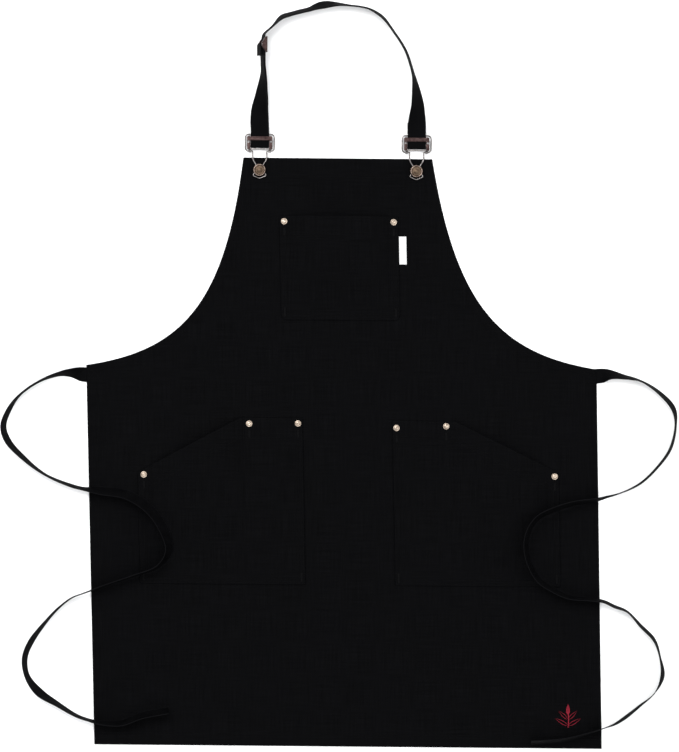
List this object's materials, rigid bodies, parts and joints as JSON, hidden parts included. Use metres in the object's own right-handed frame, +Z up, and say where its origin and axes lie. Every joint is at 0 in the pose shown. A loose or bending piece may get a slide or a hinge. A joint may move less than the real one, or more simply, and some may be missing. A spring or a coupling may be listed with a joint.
{
  "type": "bib apron",
  "caption": "Black canvas bib apron laid flat, with an adjustable neck strap on two wire buckles, waist ties and riveted pockets.",
  "frame": {"origin": "on the table under the middle of the apron and its neck loop laid flat", "axes": "+Z up from the table, +Y from the bottom hem towards the neck loop, +X across the bib"},
  "size_m": [0.9197, 1.0176, 0.0326],
  "materials": {
    "canvas": "matte cotton canvas",
    "webbing": "ribbed webbing",
    "tie_tape": "twill tape",
    "label_satin": "woven satin",
    "red_thread": "satin-stitched thread",
    "aged_brass": "antique brass, worn bright on the edges",
    "brown_metal": "dark brown antique plating",
    "steel_wire": "nickel-plated, slightly aged"
  },
  "bodies": {
    "apron": {"apron_panel": "canvas", "bottom_hem": "canvas", "left_side_hem": "canvas", "right_side_hem": "canvas", "top_facing": "canvas", "left_armhole_binding": "canvas", "right_armhole_binding": "canvas", "bib_pocket": "canvas", "bib_pocket_hem": "canvas", "left_hand_pocket": "canvas", "left_hand_pocket_hem": "canvas", "right_hand_pocket": "canvas", "right_hand_pocket_hem": "canvas", "bib_pocket_rivet_1": "aged_brass", "bib_pocket_rivet_1_burr": "aged_brass", "bib_pocket_rivet_2": "aged_brass", "bib_pocket_rivet_2_burr": "aged_brass", "left_hand_pocket_rivet_1": "aged_brass", "left_hand_pocket_rivet_1_burr": "aged_brass", "left_hand_pocket_rivet_2": "aged_brass", "left_hand_pocket_rivet_2_burr": "aged_brass", "left_hand_pocket_rivet_3": "aged_brass", "left_hand_pocket_rivet_3_burr": "aged_brass", "right_hand_pocket_rivet_1": "aged_brass", "right_hand_pocket_rivet_1_burr": "aged_brass", "right_hand_pocket_rivet_2": "aged_brass", "right_hand_pocket_rivet_2_burr": "aged_brass", "right_hand_pocket_rivet_3": "aged_brass", "right_hand_pocket_rivet_3_burr": "aged_brass", "label_tag": "label_satin", "embroidered_motif": "red_thread", "left_button_nail": "aged_brass", "right_button_nail": "aged_brass", "left_waist_tie": "tie_tape", "right_waist_tie": "tie_tape"},
    "left_bail": {"left_buckle_wire": "steel_wire"},
    "right_bail": {"right_buckle_wire": "steel_wire"},
    "left_button": {"left_button_cap": "aged_brass", "left_button_face": "brown_metal"},
    "right_button": {"right_button_cap": "aged_brass", "right_button_face": "brown_metal"},
    "neck_loop": {"neck_strap": "webbing", "left_buckle_plate": "brown_metal", "right_buckle_plate": "brown_metal"},
    "adjuster": {"strap_adjuster": "brown_metal", "strap_end_fold": "webbing"}
  },
  "joints": [
    {"name": "left_bail_tilt", "type": "hinge", "parent": "apron", "child": "left_bail", "pos_m": [-0.11474, 0.27896, 0.00505], "axis": [1, -0.009, 0], "range_deg": [0, 7]},
    {"name": "right_bail_tilt", "type": "hinge", "parent": "apron", "child": "right_bail", "pos_m": [0.09846, 0.27704, 0.00505], "axis": [1, -0.009, 0], "range_deg": [0, 7]},
    {"name": "neck_loop_fold", "type": "hinge", "parent": "left_bail", "child": "neck_loop", "pos_m": [-0.11451, 0.30486, 0.00505], "axis": [1, -0.009, 0], "range_deg": [0, 110]},
    {"name": "adjuster_slide", "type": "slide", "parent": "neck_loop", "child": "adjuster", "axis": [0, 1, 0], "range_m": [-0.015, 0]},
    {"name": "left_button_spin", "type": "hinge", "parent": "apron", "child": "left_button", "pos_m": [-0.11474, 0.27896, 0.009], "axis": [0, 0, 1], "continuous": true},
    {"name": "right_button_spin", "type": "hinge", "parent": "apron", "child": "right_button", "pos_m": [0.09846, 0.27704, 0.009], "axis": [0, 0, 1], "continuous": true}
  ],
  "couplings": [
    {"joint": "right_bail_tilt", "follows": "left_bail_tilt", "ratio": 1}
  ]
}
